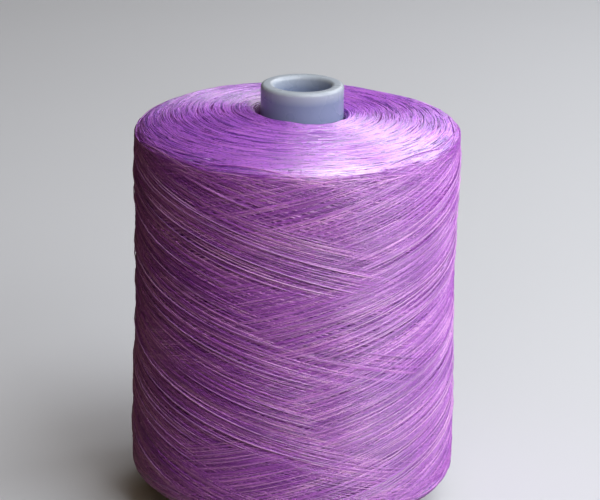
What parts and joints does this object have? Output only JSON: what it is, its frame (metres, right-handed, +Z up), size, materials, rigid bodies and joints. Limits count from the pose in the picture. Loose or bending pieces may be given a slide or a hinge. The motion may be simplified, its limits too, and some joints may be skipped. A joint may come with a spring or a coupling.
{
  "type": "spool of thread",
  "caption": "Cross-wound spool of variegated purple thread on a straight plastic tube that stands proud at both ends.",
  "frame": {"origin": "centre of the tube's lower end, on the surface that the spool stands on", "axes": "+Z up along the tube, which is the axis that the thread is wound round; +Y away from the side that is seen first"},
  "size_m": [0.086, 0.0857, 0.116],
  "materials": {
    "tube_plastic": "grey-blue moulded plastic with a soft sheen",
    "thread": "variegated purple to pale lilac polyester thread with a soft sheen"
  },
  "bodies": {
    "root": {"core_tube": "tube_plastic", "thread_package": "thread", "outer_winding": "thread", "end_winding": "thread"}
  },
  "joints": []
}
